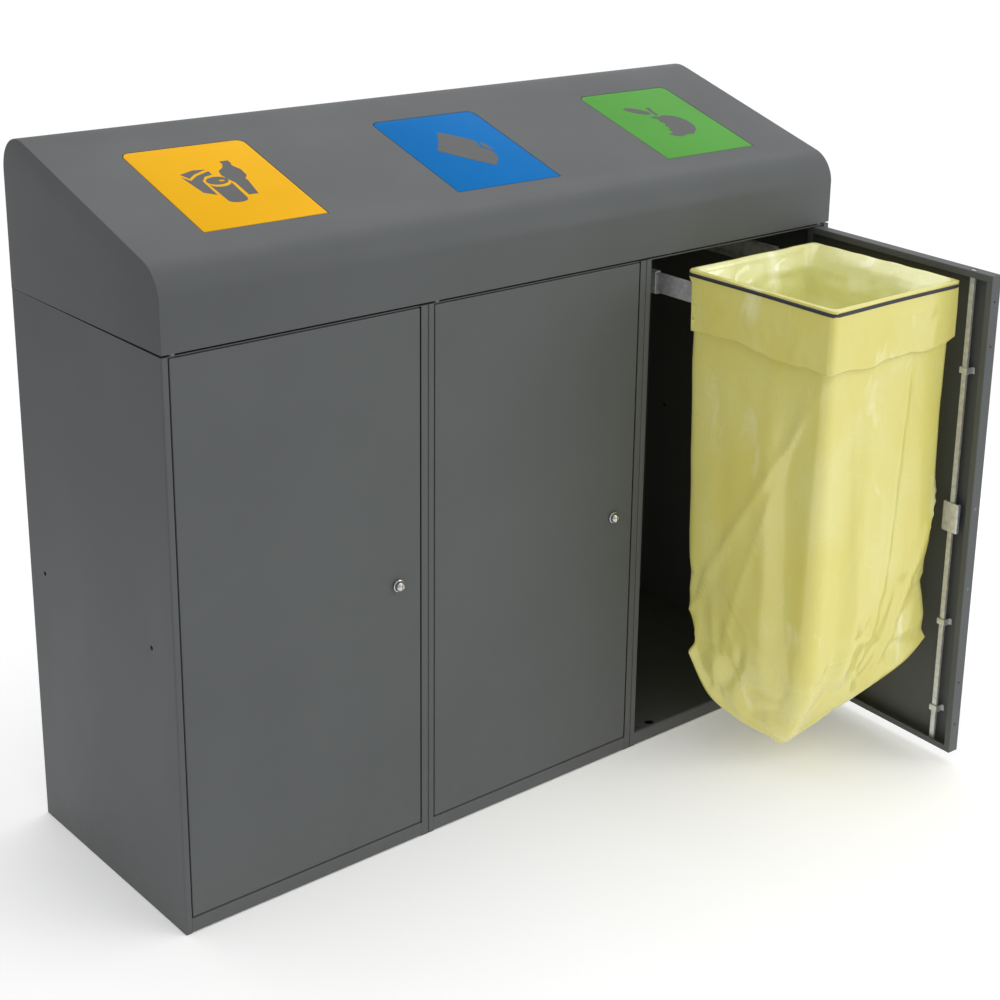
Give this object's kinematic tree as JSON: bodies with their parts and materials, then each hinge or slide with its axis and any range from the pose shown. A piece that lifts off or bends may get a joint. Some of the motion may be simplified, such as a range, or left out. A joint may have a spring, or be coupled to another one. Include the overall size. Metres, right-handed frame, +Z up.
{
  "type": "recycling bin station",
  "caption": "Row of grey steel recycling cabinets under one sloping hood, with coloured push flaps, lockable doors and pull-out bag drawers.",
  "frame": {"origin": "on the floor, under the middle of the front rail's foot, 12 mm behind the doors' faces and midway along the station", "axes": "+X to the right along the front as one faces the doors, +Y to the back wall, +Z up"},
  "size_m": [1.1996, 0.7613, 1.0084],
  "materials": {
    "grey_paint": "satin powder coat, fine texture",
    "yellow_paint": "satin powder coat",
    "blue_paint": "satin powder coat",
    "green_paint": "satin powder coat",
    "zinc": "bright zinc plate",
    "spring_steel": "oiled spring wire",
    "chrome": "polished chrome",
    "bag_film": "thin translucent film, glossy and crumpled",
    "elastic": "matt woven elastic"
  },
  "bodies": {
    "cabinets": {"hood": "grey_paint", "case_1": "grey_paint", "floor_tray_1": "grey_paint", "top_rail_1": "grey_paint", "hinge_pin_1": "zinc", "slide_bracket_1": "zinc", "slide_outer_left_1": "zinc", "slide_outer_right_1": "zinc", "flap_rod_1": "zinc", "flap_spring_1": "spring_steel", "case_2": "grey_paint", "floor_tray_2": "grey_paint", "top_rail_2": "grey_paint", "hinge_pin_2": "zinc", "slide_bracket_2": "zinc", "slide_outer_left_2": "zinc", "slide_outer_right_2": "zinc", "flap_rod_2": "zinc", "flap_spring_2": "spring_steel", "case_3": "grey_paint", "floor_tray_3": "grey_paint", "top_rail_3": "grey_paint", "hinge_pin_3": "zinc", "slide_bracket_3": "zinc", "slide_outer_left_3": "zinc", "slide_outer_right_3": "zinc", "flap_rod_3": "zinc", "flap_spring_3": "spring_steel"},
    "flap_body_1": {"flap_1": "yellow_paint"},
    "door_body_1": {"door_1": "grey_paint"},
    "lock_body_1": {"lock_1": "chrome"},
    "rod_top_body_1": {"rod_top_1": "zinc"},
    "rod_bottom_body_1": {"rod_bottom_1": "zinc"},
    "runner_1": {"slide_middle_left_1": "zinc", "slide_middle_right_1": "zinc"},
    "drawer_1": {"bag_frame_1": "grey_paint", "bag_1": "bag_film", "band_1": "elastic"},
    "flap_body_2": {"flap_2": "blue_paint"},
    "door_body_2": {"door_2": "grey_paint"},
    "lock_body_2": {"lock_2": "chrome"},
    "rod_top_body_2": {"rod_top_2": "zinc"},
    "rod_bottom_body_2": {"rod_bottom_2": "zinc"},
    "runner_2": {"slide_middle_left_2": "zinc", "slide_middle_right_2": "zinc"},
    "drawer_2": {"bag_frame_2": "grey_paint", "bag_2": "bag_film", "band_2": "elastic"},
    "flap_body_3": {"flap_3": "green_paint"},
    "door_body_3": {"door_3": "grey_paint"},
    "lock_body_3": {"lock_3": "chrome"},
    "rod_top_body_3": {"rod_top_3": "zinc"},
    "rod_bottom_body_3": {"rod_bottom_3": "zinc"},
    "runner_3": {"slide_middle_left_3": "zinc", "slide_middle_right_3": "zinc"},
    "drawer_3": {"bag_frame_3": "grey_paint", "bag_3": "bag_film", "band_3": "elastic"}
  },
  "joints": [
    {"name": "flap_swing_1", "type": "hinge", "parent": "cabinets", "child": "flap_body_1", "pos_m": [-0.4, 0.26469, 0.9793], "axis": [1, 0, 0], "range_deg": [0, 50], "stiffness_Nm_per_rad": 0.8, "springref_deg": -68.75},
    {"name": "door_swing_1", "type": "hinge", "parent": "cabinets", "child": "door_body_1", "pos_m": [-0.5825, -0.005, 0.4], "axis": [0, 0, -1], "range_deg": [0, 98]},
    {"name": "rod_top_slide_1", "type": "slide", "parent": "door_body_1", "child": "rod_top_body_1", "axis": [0, 0, 1], "range_m": [0, 0.012]},
    {"name": "rod_bottom_slide_1", "type": "slide", "parent": "door_body_1", "child": "rod_bottom_body_1", "axis": [0, 0, -1], "range_m": [0, 0.0121]},
    {"name": "lock_turn_1", "type": "hinge", "parent": "door_body_1", "child": "lock_body_1", "pos_m": [-0.253, -0.012, 0.408], "axis": [0, -1, 0], "range_deg": [0, 91]},
    {"name": "drawer_slide_1", "type": "slide", "parent": "cabinets", "child": "drawer_1", "axis": [0, -1, 0], "range_m": [0, 0.015]},
    {"name": "runner_slide_1", "type": "slide", "parent": "cabinets", "child": "runner_1", "axis": [0, -1, 0], "range_m": [0, 0.0076]},
    {"name": "flap_swing_2", "type": "hinge", "parent": "cabinets", "child": "flap_body_2", "pos_m": [0, 0.26469, 0.9793], "axis": [1, 0, 0], "range_deg": [0, 50], "stiffness_Nm_per_rad": 0.8, "springref_deg": -68.75},
    {"name": "door_swing_2", "type": "hinge", "parent": "cabinets", "child": "door_body_2", "pos_m": [-0.1825, -0.005, 0.4], "axis": [0, 0, -1], "range_deg": [0, 98]},
    {"name": "rod_top_slide_2", "type": "slide", "parent": "door_body_2", "child": "rod_top_body_2", "axis": [0, 0, 1], "range_m": [0, 0.012]},
    {"name": "rod_bottom_slide_2", "type": "slide", "parent": "door_body_2", "child": "rod_bottom_body_2", "axis": [0, 0, -1], "range_m": [0, 0.0121]},
    {"name": "lock_turn_2", "type": "hinge", "parent": "door_body_2", "child": "lock_body_2", "pos_m": [0.147, -0.012, 0.408], "axis": [0, -1, 0], "range_deg": [0, 91]},
    {"name": "drawer_slide_2", "type": "slide", "parent": "cabinets", "child": "drawer_2", "axis": [0, -1, 0], "range_m": [0, 0.015]},
    {"name": "runner_slide_2", "type": "slide", "parent": "cabinets", "child": "runner_2", "axis": [0, -1, 0], "range_m": [0, 0.0076]},
    {"name": "flap_swing_3", "type": "hinge", "parent": "cabinets", "child": "flap_body_3", "pos_m": [0.4, 0.26469, 0.9793], "axis": [1, 0, 0], "range_deg": [0, 50], "stiffness_Nm_per_rad": 0.8, "springref_deg": -68.75},
    {"name": "door_swing_3", "type": "hinge", "parent": "cabinets", "child": "door_body_3", "pos_m": [0.5795, -0.005, 0.4], "axis": [0, 0, 1], "range_deg": [-3, 10]},
    {"name": "rod_top_slide_3", "type": "slide", "parent": "door_body_3", "child": "rod_top_body_3", "axis": [0, 0, 1], "range_m": [0, 0.012]},
    {"name": "rod_bottom_slide_3", "type": "slide", "parent": "door_body_3", "child": "rod_bottom_body_3", "axis": [0, 0, -1], "range_m": [0, 0.0121]},
    {"name": "lock_turn_3", "type": "hinge", "parent": "door_body_3", "child": "lock_body_3", "pos_m": [0.5694, -0.33142, 0.408], "axis": [0.9986, -0.0523, 0], "range_deg": [0, 91]},
    {"name": "drawer_slide_3", "type": "slide", "parent": "cabinets", "child": "drawer_3", "axis": [0, 1, 0], "range_m": [0, 0.354]},
    {"name": "runner_slide_3", "type": "slide", "parent": "cabinets", "child": "runner_3", "axis": [0, 1, 0], "range_m": [0, 0.1771]}
  ],
  "couplings": [
    {"joint": "rod_bottom_slide_1", "follows": "rod_top_slide_1", "ratio": 1},
    {"joint": "lock_turn_1", "follows": "rod_top_slide_1", "rad_per_m": 130.9},
    {"joint": "runner_slide_1", "follows": "drawer_slide_1", "ratio": 0.5},
    {"joint": "rod_bottom_slide_2", "follows": "rod_top_slide_2", "ratio": 1},
    {"joint": "lock_turn_2", "follows": "rod_top_slide_2", "rad_per_m": 130.9},
    {"joint": "runner_slide_2", "follows": "drawer_slide_2", "ratio": 0.5},
    {"joint": "rod_bottom_slide_3", "follows": "rod_top_slide_3", "ratio": 1},
    {"joint": "lock_turn_3", "follows": "rod_top_slide_3", "rad_per_m": 130.9},
    {"joint": "runner_slide_3", "follows": "drawer_slide_3", "ratio": 0.5}
  ]
}
